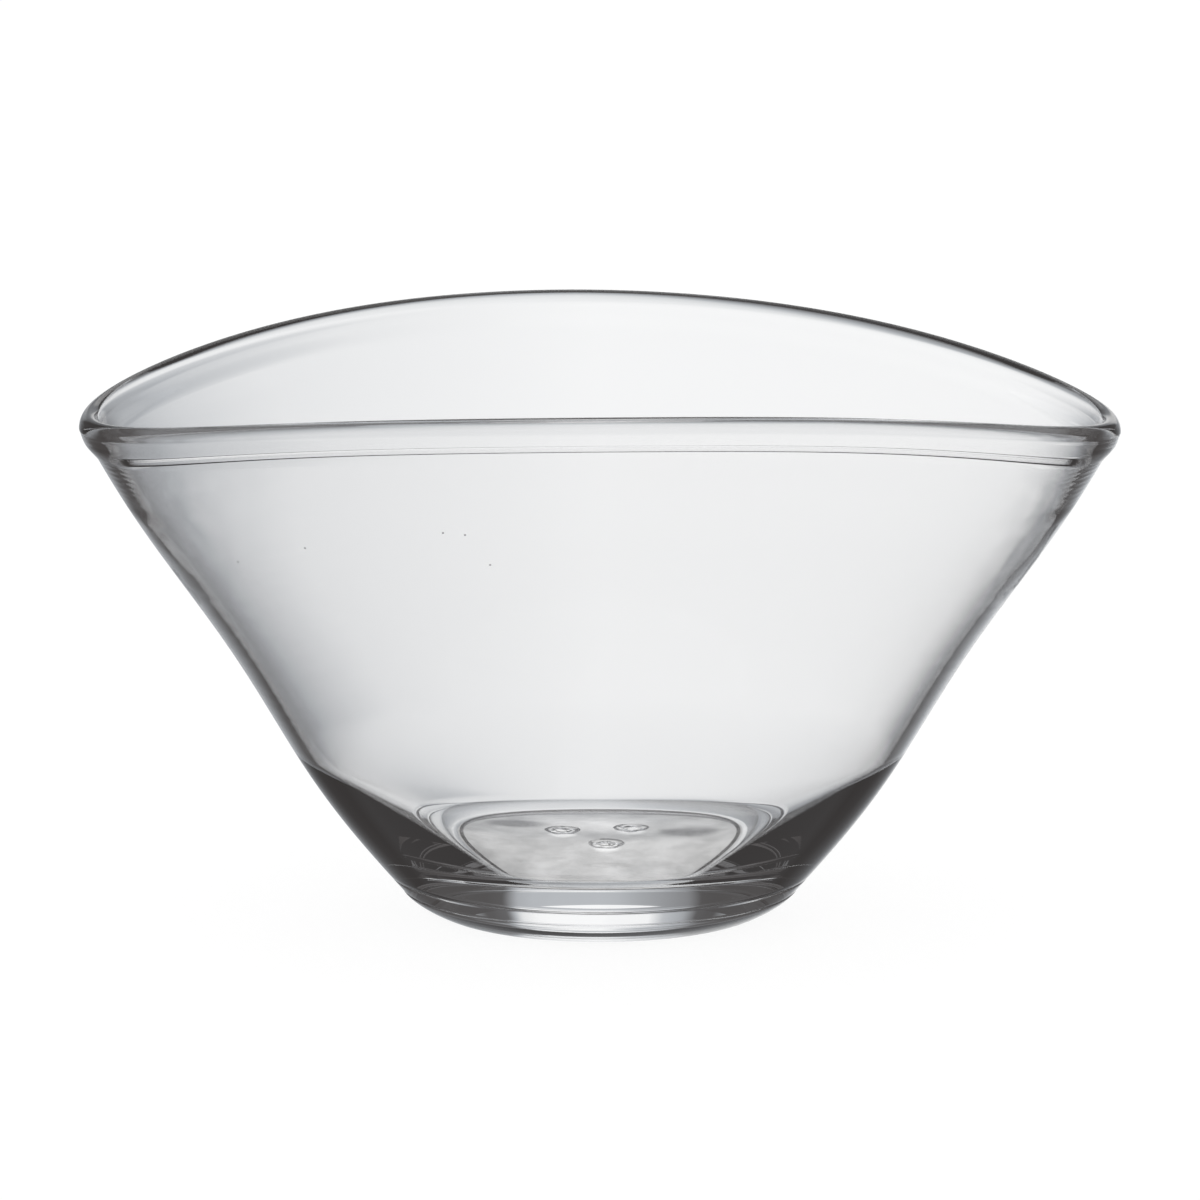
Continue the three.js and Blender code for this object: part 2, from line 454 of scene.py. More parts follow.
@dataclass(frozen=True)
class ClearGlass:
    """Colourless glass, with the cords, ripples, tool lines and seeds of hand work."""

    name: str = "clear_glass"
    tint: tuple[float, float, float] = (1.0, 1.0, 1.0)
    # Painted shade for the seeds, the small air bubbles in the glass.
    seed_painted_shade: tuple[float, float, float] = (0.12, 0.12, 0.12)
    refraction: float = 1.5
    # A faint, slightly warm painted glow that the glass gives off, so that its darkest parts are not black.
    painted_glow: float = 0.0055
    painted_glow_tint: tuple[float, float, float] = (1.0, 0.92, 0.91)
    cord_scale: float = 34.0
    cord_stretch: float = 9.0
    cord_detail: float = 0.0
    cord_height: float = 0.02 * MM
    cord_low: tuple[float, float] = (45 * MM, 65 * MM)
    ripple_reach: tuple[float, float] = (104 * MM, 126 * MM)
    ripple_scale: float = 45.0
    ripple_detail: float = 1.0
    ripple_height: float = 0.5 * MM
    ripple_zone: tuple[float, float] = (98 * MM, 118 * MM)
    line_reach: tuple[float, float] = (128 * MM, 138 * MM)
    line_pitch: float = 1.6 * MM
    line_sway: float = 3.0
    line_height: float = 0.006 * MM
    line_zone: tuple[float, float] = (124 * MM, 133 * MM)
    zone_edge: float = 6 * MM
    seed_size: float = 0.4 * MM
    seeds: Sequence[tuple[float, float, float]] = SEEDS

    def zone(self, height: Value, span: tuple[float, float]) -> Value:
        """1 between two heights, with eased edges outside them.

        Args:
            height: The height above the table.
            span: The two heights.

        Returns:
            The share.
        """
        low, high = span
        edge = self.zone_edge
        return height.ease(low - edge, low) * height.ease(high + edge, high)

    def relief(self, sheet: Sheet, place: Value) -> Value:
        """The small heights that hand work leaves on the glass, in metres.

        Args:
            sheet: The material's nodes.
            place: The position on the bowl.

        Returns:
            The height above the plain surface.
        """
        stretched = sheet.vector("MULTIPLY", place, (1.0, 1.0, self.cord_stretch))
        cords = sheet.noise(stretched, self.cord_scale, self.cord_detail)
        ripples = sheet.noise(place, self.ripple_scale, self.ripple_detail)
        split = sheet.node("ShaderNodeSeparateXYZ", None, {0: place})
        along = Value(sheet, split.outputs["X"])
        height = Value(sheet, split.outputs["Z"])
        from_axis = along.size()
        lines = (height * (TURN / self.line_pitch) + cords * self.line_sway).sine()
        lines = lines * self.zone(height, self.line_zone) * from_axis.ease(*self.line_reach)
        ripples = ripples * self.zone(height, self.ripple_zone) * from_axis.ease(*self.ripple_reach)
        cords = cords * height.ease(*self.cord_low)
        return cords * self.cord_height + lines * self.line_height + ripples * self.ripple_height

    def colour(self, sheet: Sheet, place: Value) -> bpy.types.NodeSocket:
        """The glass's colour, darker at its seeds: painted shade where each small air bubble would bend the
        light away.

        Args:
            sheet: The material's nodes.
            place: The position on the bowl.

        Returns:
            The colour.
        """
        # Painted shade: near-black spots at each seed.
        gaps = [sheet.vector("DISTANCE", place, seed, "Value") for seed in self.seeds]
        near = reduce(Value.smaller, gaps).ease(self.seed_size, self.seed_size / 2)
        return sheet.blend(near, (*self.tint, 1.0), (*self.seed_painted_shade, 1.0))

    def material(self) -> bpy.types.Material:
        """Makes the material.

        Returns:
            The glass.
        """
        made, sheet = new_finish(self.name)
        place = sheet.value("ShaderNodeTexCoord", output="Object")
        relief = {"Height": self.relief(sheet, place), "Strength": 1.0, "Distance": 1.0}
        shader = sheet.node(
            "ShaderNodeBsdfPrincipled",
            None,
            {
                "Base Color": self.colour(sheet, place),
                "Roughness": 0.0,
                "IOR": self.refraction,
                "Transmission Weight": 1.0,
                # Painted glow: the glass gives off a faint warm light of its own.
                "Emission Color": (*self.painted_glow_tint, 1.0),
                "Emission Strength": self.painted_glow,
                "Normal": sheet.value("ShaderNodeBump", None, relief),
            },
        )
        sheet.finish(shader)
        return made


@dataclass(frozen=True)
class ScarGlassWithPaintedShade(ClearGlass):
    """The glass of the scars, with painted shade along their edges and in part of each crater."""

    name: str = "scar_glass_painted_shade"
    # The colour of the painted shade round the scars and in their craters.
    painted_edge_shade: tuple[float, float, float] = (0.03, 0.03, 0.03)
    rim: tuple[float, float] = (0.7, 0.9)
    crater: tuple[float, float] = (0.34, 0.46)
    crater_end: tuple[float, float] = (0.62, 0.52)
    breakup_scale: float = 260.0
    breakup_detail: float = 2.0
    breakup_edge: tuple[float, float] = (0.42, 0.56)
    whole_rim: float = 0.45
    scars: Sequence[ScarSpot] = SCAR_SPOTS

    def colour(self, sheet: Sheet, place: Value) -> bpy.types.NodeSocket:
        """The glass's colour, with painted shade round each scar and along part of its crater, in broken
        patches.

        Args:
            sheet: The material's nodes.
            place: The position on the bowl.

        Returns:
            The colour.
        """
        outs = [
            sheet.oval_distance(place, scar.x, scar.y, scar.length / 2, scar.width / 2)
            for scar in self.scars
        ]
        out = reduce(Value.smaller, outs)
        # Noise that breaks the painted shade into patches.
        shade_breakup = sheet.noise(place, self.breakup_scale, self.breakup_detail).ease(*self.breakup_edge)
        crater = out.ease(*self.crater) * out.ease(*self.crater_end)
        rim = out.ease(*self.rim) * (self.whole_rim + shade_breakup * (1 - self.whole_rim))
        return sheet.blend(rim.larger(crater * shade_breakup), (*self.tint, 1.0), (*self.painted_edge_shade, 1.0))


@dataclass(frozen=True)
class FusedJoint:
    """The unseen face where two bits of glass were fused hot."""

    name: str = "fused_joint"

    def material(self) -> bpy.types.Material:
        """Makes the material.

        Returns:
            A fully clear face.
        """
        made, sheet = new_finish(self.name)
        sheet.finish(sheet.node("ShaderNodeBsdfTransparent"))
        return made


def smooth(low: float, high: float, x: Array) -> Array:
    """A smooth rise from 0 at low to 1 at high."""
    t = np.clip((x - low) / (high - low), 0, 1)
    return t * t * (3 - 2 * t)


def spread(start: Array | float, end: Array | float, count: int) -> Array:
    """Even steps from start to end along a new last axis, both ends included.

    Args:
        start: First value, or one for each station.
        end: Last value, or one for each station.
        count: How many steps.

    Returns:
        The values, with one row for each station where there are stations.
    """
    t = np.linspace(0, 1, count + 1)
    return np.expand_dims(start, -1) * (1 - t) + np.expand_dims(end, -1) * t


@dataclass
class OvalForm:
    """The bowl's form: an oval that grows from a round foot to a rim that dips at its ends."""

    rim_length: float
    rim_width: float
    side_height: float
    foot_radius: float
    foot_height: float
    end_height: float = 146 * MM
    end_tilt: float = 1.2 * MM
    saddle_twist: float = 1.84 * MM
    dip_reach: float = 0.28
    diagonal_draw: float = 2.6 * MM
    wall_thickness: float = 4.7 * MM
    belly_swell: float = 3 * MM
    low_swell: float = 0.8 * MM
    waist_swell: float = 1.4 * MM
    heel_top: float = 49.5 * MM
    heel_end: float = 14 * MM
    heel_side: float = 5.8 * MM
    heel_spread: float = 4.0
    heel_power: float = 1.75
    floor_height: float = 19.6 * MM
    cove_run: float = 2 * MM
    cove_rise: float = 3.1 * MM
    crown_rise: float = 4.5 * MM
    lip_thickness: float = 6.4 * MM
    lip_proud: float = 0.7 * MM
    end_bulge: float = 0.9 * MM
    side_bulge: float = 0.1 * MM
    bulge_spread: float = 4.0
    lip_height: float = 12.4 * MM
    leaf_seat: float = 2.55 * MM
    cap_drop: float = 1.75 * MM
    lip_blend: float = 34 * MM
    air_line_drop: float = 8.6 * MM
    air_line_height: float = 1.9 * MM
    air_line_depth: float = 0.7 * MM
    air_line_middle: float = 0.55
    air_depth_spread: float = 4.0
    air_line_sag: float = 1.2 * MM
    air_line_growth: float = 0.45
    air_line_spread: float = 6.0
    air_line_end: float = math.radians(19)
    air_line_taper: float = math.radians(4)
    stations: int = 288

    @classmethod
    def from_frame(cls) -> "OvalForm":
        """Takes the overall sizes from the frame's boxes.

        Returns:
            The form.
        """
        lip_low, lip_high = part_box("folded_lip")
        foot_low, foot_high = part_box("foot")
        form = cls(
            rim_length=lip_high.x - lip_low.x,
            rim_width=lip_high.y - lip_low.y,
            side_height=lip_high.z,
            foot_radius=(foot_high.x - foot_low.x) / 2,
            foot_height=foot_high.z,
        )
        form.side_height -= float(form.crown.max()) - lip_high.z
        return form

    @property
    def angles(self) -> Array:
        """The direction of each station from the axis, as a column."""
        return np.linspace(0, TURN, self.stations, endpoint=False)[:, None]

    def endness(self, power: float) -> Array:
        """1 at the bowl's two ends and 0 at its sides, as a column: a higher power keeps to the ends."""
        return np.abs(np.cos(self.angles)) ** power

    @property
    def crown(self) -> Array:
        """Height of the rim's crown at each station.

        Returns:
            A column of heights.
        """
        along = np.cos(self.angles)
        across = np.sin(self.angles)
        dip = along**2 * (1 - self.dip_reach * across**2)
        drop = (self.side_height - self.end_height) * dip
        return self.side_height - drop - along * (self.end_tilt / 2 + self.saddle_twist * across)

    @property
    def widest(self) -> Array:
        """Height of the lip's widest line at each station, as a column."""
        return self.crown - self.crown_rise

    def wall(self, height: Array, inset: Array | float) -> Array:
        """Points at given heights, set in by so much from the wall's outer line.

        Args:
            height: One row of heights for each station.
            inset: The distance in from the outer line.

        Returns:
            The points, station by station.
        """
        angle = self.angles
        rise = (height - self.foot_height) / (self.widest - self.foot_height)
        swell = (
            self.belly_swell * np.sin(math.pi * rise)
            + self.low_swell * np.sin(2 * math.pi * rise)
            + self.waist_swell * np.sin(3 * math.pi * rise)
        )
        draw = self.diagonal_draw * rise * np.sin(2 * angle) ** 2
        foot = self.foot_radius + swell - draw - inset
        along = foot + (self.rim_length / 2 - self.lip_proud - self.foot_radius) * rise
        across = foot + (self.rim_width / 2 - self.lip_proud - self.foot_radius) * rise
        x = along * np.cos(angle)
        y = across * np.sin(angle)
        return np.stack([x, y, np.broadcast_to(height, x.shape)], -1)

    def inner_inset(self, height: Array) -> Array:
        """How far the inner face lies in from the wall's outer line.

        Args:
            height: One row of heights for each station.

        Returns:
            The inset at each height.
        """
        blend = smooth(0, self.lip_blend, self.lip_blend - (self.widest - height))
        lip = self.lip_thickness - self.lip_proud
        wall = self.wall_thickness + (lip - self.wall_thickness) * blend
        low = np.clip((self.heel_top - height) / (self.heel_top - self.floor_height), 0, 1)
        heel = self.heel_side + (self.heel_end - self.heel_side) * self.endness(self.heel_spread)
        rise = np.clip((height - self.floor_height) / self.cove_rise, 0, 1)
        cove = self.cove_run * (1 - np.sqrt(1 - (1 - rise) ** 2))
        return wall + heel * low**self.heel_power + cove

    @property
    def bulge(self) -> Array:
        """How far the leaf swells at each station, as a column: most at the ends."""
        return self.side_bulge + (self.end_bulge - self.side_bulge) * self.endness(self.bulge_spread)

    @property
    def air_depth(self) -> Array:
        """Depth of the trapped air at each station: none along the back.

        Returns:
            A column of depths.
        """
        past = np.minimum(self.angles - math.pi, TURN - self.angles) - self.air_line_end
        full = self.air_line_middle + (1 - self.air_line_middle) * self.endness(self.air_depth_spread)
        return self.air_line_depth * full * smooth(0, self.air_line_taper, past)

    @property
    def open_air(self) -> Array:
        """Whether there is air between each station and the next, as a column."""
        depth = self.air_depth
        return np.maximum(depth, np.roll(depth, -1, axis=0)) > 0

    @property
    def air_level(self) -> Array:
        """Height of the middle of the trapped air at each station, as a column."""
        return self.crown - self.air_line_drop - self.air_line_sag * self.endness(self.air_line_spread)

    @property
    def air_height(self) -> Array:
        """How tall the trapped air is at each station, as a column."""
        return self.air_line_height * (1 + self.air_line_growth * self.endness(self.air_line_spread))


class Skin:
    """A closed skin, built from stretches of profile that run round the axis."""

    def __init__(self, stations: int) -> None:
        """Starts an empty profile.

        Args:
            stations: How many points each ring round the axis has.
        """
        self.stations = stations
        self.rows: list[Array] = []
        self.slots: list[Array] = []

    def stretch(
        self,
        points: Array,
        span: Span = Span.GLASS,
        joint: Span | None = None,
        where: Array | None = None,
    ) -> None:
        """Adds a stretch of profile.

        Args:
            points: The points of each station, in order along the profile.
            span: What the faces between these points are.
            joint: What the faces that lead to this stretch from the last one are.
            where: Which faces are of that span; the others are fused.
        """
        steps = points.shape[1] - 1
        if self.rows:
            self.slots.append(np.full((self.stations, 1), (joint or span).value))
        slots = np.full((self.stations, steps), span.value)
        if where is not None:
            slots = np.where(where, slots, Span.FUSED.value)
        self.rows.append(points)
        self.slots.append(slots)

    def mesh(
        self,
        name: str,
        closing: Span | None = None,
        poles: tuple[float, float] | None = None,
        pole_spans: tuple[Span, Span] = (Span.GLASS, Span.GLASS),
    ) -> bpy.types.Mesh:
        """Makes the mesh, closed on itself or on the axis.

        Args:
            name: The mesh's name.
            closing: What the faces are that close the profile on itself.
            poles: Heights of the first and last point on the axis, where it closes there.
            pole_spans: What the faces at the two poles are.

        Returns:
            The mesh.
        """
        grid = np.concatenate(self.rows, axis=1)
        count = grid.shape[1]
        laid = list(self.slots)
        if poles is None:
            laid.append(np.full((self.stations, 1), (closing or Span.GLASS).value))
        table = np.concatenate(laid, axis=1)
        points = grid.reshape(-1, 3).tolist()
        faces: list[tuple[int, ...]] = []
        slots: list[int] = []
        starts = [(k * count, (k + 1) % self.stations * count) for k in range(self.stations)]
        for (here, there), row in zip(starts, table.tolist()):
            for i, slot in enumerate(row):
                j = (i + 1) % count
                faces.append((here + i, there + i, there + j, here + j))
                slots.append(slot)
        if poles is not None:
            points += [[0, 0, poles[0]], [0, 0, poles[1]]]
            first = self.stations * count
            last = count - 1
            for here, there in starts:
                faces.append((first, there, here))
                faces.append((first + 1, here + last, there + last))
                slots += [span.value for span in pole_spans]
        made = new_mesh(name, points, faces, slots)
        made.set_sharp_from_angle(angle=SHARP_EDGE)
        return made


@dataclass
class GlassPiece:
    """A piece of the bowl that stands for one CAD node."""

    form: OvalForm
    name: str = "glass_piece"
    node: str = ""
    slot: str = "clear_glass"

    def mesh(self) -> bpy.types.Mesh:
        """Makes the piece's closed mesh."""
        raise NotImplementedError

    def dress(self, finishes: Sequence[bpy.types.Material]) -> bpy.types.Object:
        """Makes the piece, gives it its finishes and sets it on the frame.

        Args:
            finishes: One material for each kind of span.

        Returns:
            The piece.
        """
        made = new_object(self.name, self.mesh())
        for finish in finishes:
            made.data.materials.append(finish)
        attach(made, "root")
        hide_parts(self.node)
        log.info("%s: %d faces", self.name, len(made.data.polygons))
        return made


@dataclass
class BowlBody(GlassPiece):
    """The blown wall and thick floor."""

    name: str = "blown_wall_and_floor"
    node: str = "bowl_body"
    groove: float = 0.1 * MM
    crease_level: float = 11.5 * MM
    crease_height: float = 0.7 * MM
    crease_depth: float = 0.25 * MM
    crease_steps: int = 6
    wall_steps: int = 110
    heel_steps: int = 60
    cove_steps: int = 24
    channel_steps: int = 6

    def mesh(self) -> bpy.types.Mesh:
        """Underside, outer wall, the seat behind the leaf, inner wall and cove.

        Returns:
            The closed mesh.
        """
        form = self.form
        level = np.zeros_like(form.crown)
        skin = Skin(form.stations)
        base = form.foot_height
        shoulder = form.crown - form.lip_height
        top = form.widest - form.cap_drop
        skin.stretch(form.wall(level + base, self.groove))
        crease = level + self.crease_level
        low = crease - self.crease_height / 2
        skin.stretch(form.wall(spread((level + base + self.groove)[:, 0], low[:, 0], self.crease_steps), 0))
        skin.stretch(form.wall(crease, self.crease_depth))
        high = crease + self.crease_height / 2
        skin.stretch(form.wall(spread(high[:, 0], shoulder[:, 0], self.wall_steps), 0))
        skin.stretch(form.wall(shoulder, form.leaf_seat), Span.FUSED)
        channel = form.air_level + form.air_height / 2 * np.linspace(-1, 1, self.channel_steps + 1)
        skin.stretch(form.wall(channel, form.leaf_seat), Span.GLASS, Span.FUSED, form.open_air)
        skin.stretch(form.wall(top, form.leaf_seat), Span.FUSED)
        heel = level + form.heel_top
        inner = spread(top[:, 0], heel[:, 0], self.wall_steps)
        skin.stretch(form.wall(inner, form.inner_inset(inner)), Span.GLASS, Span.FUSED)
        inner = spread(heel[:, 0], level[:, 0] + form.floor_height + form.cove_rise, self.heel_steps)[:, 1:]
        skin.stretch(form.wall(inner, form.inner_inset(inner)))
        turn = np.linspace(0, math.pi / 2, self.cove_steps + 1)[1:]
        cove = level + form.floor_height + form.cove_rise * (1 - np.sin(turn))
        skin.stretch(form.wall(cove, form.inner_inset(cove)))
        return skin.mesh(self.name, poles=(base, form.floor_height), pole_spans=(Span.FUSED, Span.GLASS))


@dataclass
class FoldedLip(GlassPiece):
    """The lip, turned out and down over the wall, with its line of trapped air."""

    name: str = "turned_over_lip"
    node: str = "folded_lip"
    swell_turn: tuple[float, float] = (-0.2, 0.5)
    leaf_steps: int = 16
    crown_steps: int = 40
    channel_steps: int = 16

    def mesh(self) -> bpy.types.Mesh:
        """The leaf's outer face, the crown, the inner face, the cap and the seat.

        Returns:
            The closed mesh.
        """
        form = self.form
        skin = Skin(form.stations)
        widest = form.widest
        lower = form.crown - form.lip_height
        down = np.linspace(1, 0, self.leaf_steps + 1)
        swell = np.sin(math.pi * down)
        sharp = smooth(*self.swell_turn, -np.sin(form.angles))
        swell = swell * (sharp + (1 - sharp) * swell)
        proud = form.lip_proud * smooth(0, 1, 1 - down) + form.bulge * swell
        skin.stretch(form.wall(widest * (1 - down) + lower * down, -proud))
        turn = np.linspace(0, math.pi, self.crown_steps + 1)[1:]
        over = form.wall(
            np.broadcast_to(widest, (form.stations, len(turn))),
            -form.lip_proud + form.lip_thickness / 2 * (1 - np.cos(turn)),
        )
        over[..., 2] += form.crown_rise * np.sin(turn)
        skin.stretch(over)
        cap = widest - form.cap_drop
        skin.stretch(form.wall(cap, form.inner_inset(cap)))
        skin.stretch(form.wall(cap, form.leaf_seat), Span.FUSED)
        turn = np.linspace(0, math.pi, self.channel_steps + 1)
        channel = form.air_level + form.air_height / 2 * np.cos(turn)
        face = form.wall(channel, form.leaf_seat - form.air_depth * np.sin(turn))
        skin.stretch(face, Span.GLASS, Span.FUSED, form.open_air)
        skin.stretch(form.wall(lower, form.leaf_seat), Span.FUSED)
        return skin.mesh(self.name, closing=Span.FUSED)


@dataclass
class Foot(GlassPiece):
    """The cast-on foot, with its flat standing ring and hollow underside."""

    name: str = "cast_on_foot"
    node: str = "foot"
    groove: float = 0.1 * MM
    stand_radius: float = 45.5 * MM
    hollow_radius: float = 43.4 * MM
    hollow_depth: float = 2.2 * MM
    ledge_height: float = 1.8 * MM
    ledge_run: float = 1.5 * MM
    roundness: float = 1.25
    edge_steps: int = 30
    hollow_steps: int = 84
    ledge_steps: int = 20
    scars: Sequence[ScarSpot] = SCAR_SPOTS

    def hollow(self, radius: Array) -> Array:
        """Height of the hollow under the foot.

        Args:
            radius: Distances from the axis.

        Returns:
            The height at each.
        """
        dome = self.hollow_depth - self.ledge_height
        arc = (self.hollow_radius**2 + dome**2) / (2 * dome)
        ledge = self.ledge_height * smooth(0, self.ledge_run, self.hollow_radius - radius)
        return ledge + dome - arc + np.sqrt(arc**2 - radius**2)

    def ring(self, radius: Array, height: Array) -> Array:
        """Points round the axis.

        Args:
            radius: The radius of each ring.
            height: The height of each ring.

        Returns:
            The points, station by station.
        """
        angle = self.form.angles
        x = radius * np.cos(angle)
        y = radius * np.sin(angle)
        return np.stack([x, y, np.broadcast_to(height, x.shape)], -1)

    def underside(self) -> Array:
        """The hollow's face.

        Returns:
            Its points for each station, ring by ring from the axis.
        """
        inside = self.hollow_radius - self.ledge_run
        dome = np.linspace(0, inside, self.hollow_steps + 1)[1:]
        ledge = np.linspace(inside, self.hollow_radius, self.ledge_steps + 1)[1:]
        radius = np.concatenate([dome, ledge])
        return self.ring(radius, self.hollow(radius))

    def mesh(self) -> bpy.types.Mesh:
        """Hollow, standing ring, rounded edge and the fused top.

        Returns:
            The closed mesh.
        """
        form = self.form
        skin = Skin(form.stations)
        underside = self.underside()
        bare = np.ones((form.stations, underside.shape[1] - 1), bool)
        for scar in self.scars:
            bare &= ~scar.covers(underside)
        skin.stretch(underside, where=bare)
        turn = np.linspace(0, math.pi / 2, self.edge_steps + 1)
        out = np.sin(turn) ** (2 / self.roundness)
        up = 1 - np.cos(turn) ** (2 / self.roundness)
        radius = self.stand_radius + (form.foot_radius - self.stand_radius) * out
        skin.stretch(self.ring(radius, (form.foot_height - self.groove) * up))
        edge = np.array([form.foot_radius - self.groove])
        skin.stretch(self.ring(edge, np.array([form.foot_height])))
        poles = (self.hollow_depth, form.foot_height)
        return skin.mesh(self.name, poles=poles, pole_spans=(Span.GLASS, Span.FUSED))


@dataclass
class PontilScar(GlassPiece):
    """A bit of glass left under the foot by the iron that held the bowl: a low, chipped bead."""

    foot: Foot = field(kw_only=True)
    spot: ScarSpot = field(kw_only=True)

    def mesh(self) -> bpy.types.Mesh:
        """The cells of the foot's underside that the scar covers, and the same cells hung lower.

        Returns:
            The closed mesh.
        """
        grid = self.foot.underside()
        stations, count = grid.shape[:2]
        flat = grid.reshape(-1, 3)
        hung = flat - self.spot.hang(flat)[:, None] * [0, 0, 1]
        below = len(flat)
        loops = []
        for station, row in np.argwhere(self.spot.covers(grid)).tolist():
            here = station * count + row
            there = (station + 1) % stations * count + row
            loops.append((here, there, there + 1, here + 1))
        edges = {(loop[i], loop[(i + 1) % 4]) for loop in loops for i in range(4)}
        faces = [loop[::-1] for loop in loops]
        slots = [Span.FUSED.value] * len(loops)
        faces += [tuple(i + below for i in loop) for loop in loops]
        faces += [(b + below, a + below, a, b) for a, b in edges if (b, a) not in edges]
        slots += [Span.GLASS.value] * (len(faces) - len(slots))
        used = sorted({i for face in faces for i in face})
        place = {old: new for new, old in enumerate(used)}
        points = np.concatenate([flat, hung])[used]
        return new_mesh(self.name, points.tolist(), [[place[i] for i in face] for face in faces], slots)


def facing(sheet: Sheet, direction: Value, heading: float) -> tuple[Value, ...]:
    """The shares of a direction, for one who looks along a heading.

    Args:
        sheet: The world's nodes.
        direction: The direction that is looked in.
        heading: The heading in degrees, from +X towards +Y.

    Returns:
        The shares ahead, to the right and up.
    """
    along, across = math.cos(math.radians(heading)), math.sin(math.radians(heading))
    ways = ((along, across, 0), (across, -along, 0), (0, 0, 1))
    return tuple(sheet.vector("DOT_PRODUCT", direction, way, "Value") for way in ways)


@dataclass(frozen=True)
class Sweep:
    """A lit white paper sweep, as it is seen through the glass.

    The heading is the way that one looks to face it, from +X towards +Y. Angles are in degrees:
    the side counts from the heading, to the right, and the lift from the horizon, up and over.
    """

    heading: float
    across: Stops
    upright: Stops

    def level(self, sheet: Sheet, direction: Value) -> Value:
        """How bright a direction is in this sweep.

        Args:
            sheet: The world's nodes.
            direction: The direction that is looked in.

        Returns:
            0 outside the sweep, 1 in its brightest part.
        """
        ahead, right, up = facing(sheet, direction, self.heading)
        return right.arcsine().curve(self.across) * up.angle_from(ahead).curve(self.upright)


LOWER_SWEEP = Sweep(
    heading=90,
    across=(
        (-90, 0),
        (-32, 0),
        (-25, 0.03),
        (-20, 0.14),
        (-14, 0.31),
        (-11, 0.44),
        (-7, 0.47),
        (-4, 0.66),
        (-3, 0.74),
        (-2, 0.88),
        (0, 1),
        (5, 1),
        (8, 0.86),
        (12, 0.6),
        (16, 0.37),
        (21, 0.19),
        (28, 0.04),
        (36, 0),
        (90, 0),
    ),
    upright=(
        (-180, 0.03),
        (-130, 0.08),
        (-95, 0.28),
        (-60, 0.4),
        (-48, 0.55),
        (-35, 0.83),
        (-20, 0.9),
        (-12, 0.965),
        (-7, 0.98),
        (0, 1),
        (3, 0),
        (180, 0),
    ),
)

UPPER_SWEEP = Sweep(
    heading=90,
    across=(
        (-90, 0),
        (-36, 0.03),
        (-22, 0.03),
        (-19, 0.05),
        (-16, 0.4),
        (-11, 0.6),
        (-7, 0.75),
        (-3, 0.95),
        (0, 1),
        (12, 1),
        (15, 0.85),
        (18, 0.08),
        (22, 0.04),
        (36, 0.03),
        (90, 0),
    ),
    upright=(
        (-180, 0),
        (-3, 0),
        (0, 1),
        (6, 1),
        (9, 0.5),
        (16, 0.5),
        (19, 1),
        (28, 1),
        (45, 0.85),
        (90, 0.92),
        (130, 0.2),
        (180, 0.03),
    ),
)

GLOW = Sweep(
    heading=90,
    across=((-90, 0.1), (90, 0.1)),
    upright=((-180, 1), (-55, 1), (-45, 0), (35, 0), (50, 1), (180, 1)),
)

OVERHEAD = Sweep(
    heading=90,
    across=((-16, 0), (-9, 0.97), (9, 0.97), (16, 0)),
    upright=((1, 0), (4, 1), (60, 1), (75, 0)),
)


@dataclass(frozen=True)
class PaperRound:
    """White paper on all other sides, which shows straight through the glass and not in its reflections."""

    heading: float = 90
    around: Stops = ((-180, 0.97), (-46, 0.97), (-27, 0), (27, 0), (46, 0.97), (180, 0.97))
    below: Stops = ((-90, 0.97), (-72, 0.97), (-58, 0), (90, 0))
    overhead: Sweep = OVERHEAD

    def level(self, sheet: Sheet, direction: Value) -> Value:
        """How bright a direction is.

        Args:
            sheet: The world's nodes.
            direction: The direction that is looked in.

        Returns:
            0 where the paper leaves a gap, and else the paper's level.
        """
        ahead, right, up = facing(sheet, direction, self.heading)
        level = right.angle_from(ahead).curve(self.around).larger(up.arcsine().curve(self.below))
        return level.larger(self.overhead.level(sheet, direction))


@dataclass(frozen=True)
class LightPatch:
    """A lighter or darker place on the table under the foot, as the glass above it bends the light."""

    x: float
    y: float
    half_length: float
    half_width: float
    gain: float
    core: float = 0.4

    def change(self, sheet: Sheet, place: Value) -> Value:
        """How much lighter each place is.

        Args:
            sheet: The patch's nodes.
            place: The position on the table.

        Returns:
            The change, below 0 where it is darker.
        """
        out = sheet.oval_distance(place, self.x, self.y, self.half_length, self.half_width)
        return out.ease(1, self.core) * self.gain


UNDER_FOOT_LIGHT = (
    LightPatch(x=-2 * MM, y=23 * MM, half_length=24 * MM, half_width=17 * MM, gain=0.28),
    LightPatch(x=-26 * MM, y=22 * MM, half_length=13 * MM, half_width=8 * MM, gain=-0.4),
    LightPatch(x=27 * MM, y=9 * MM, half_length=13 * MM, half_width=9 * MM, gain=-0.3),
    *(LightPatch(spot.x, spot.y, spot.length / 2, spot.width / 2, gain=0.4) for spot in SCAR_SPOTS),
)


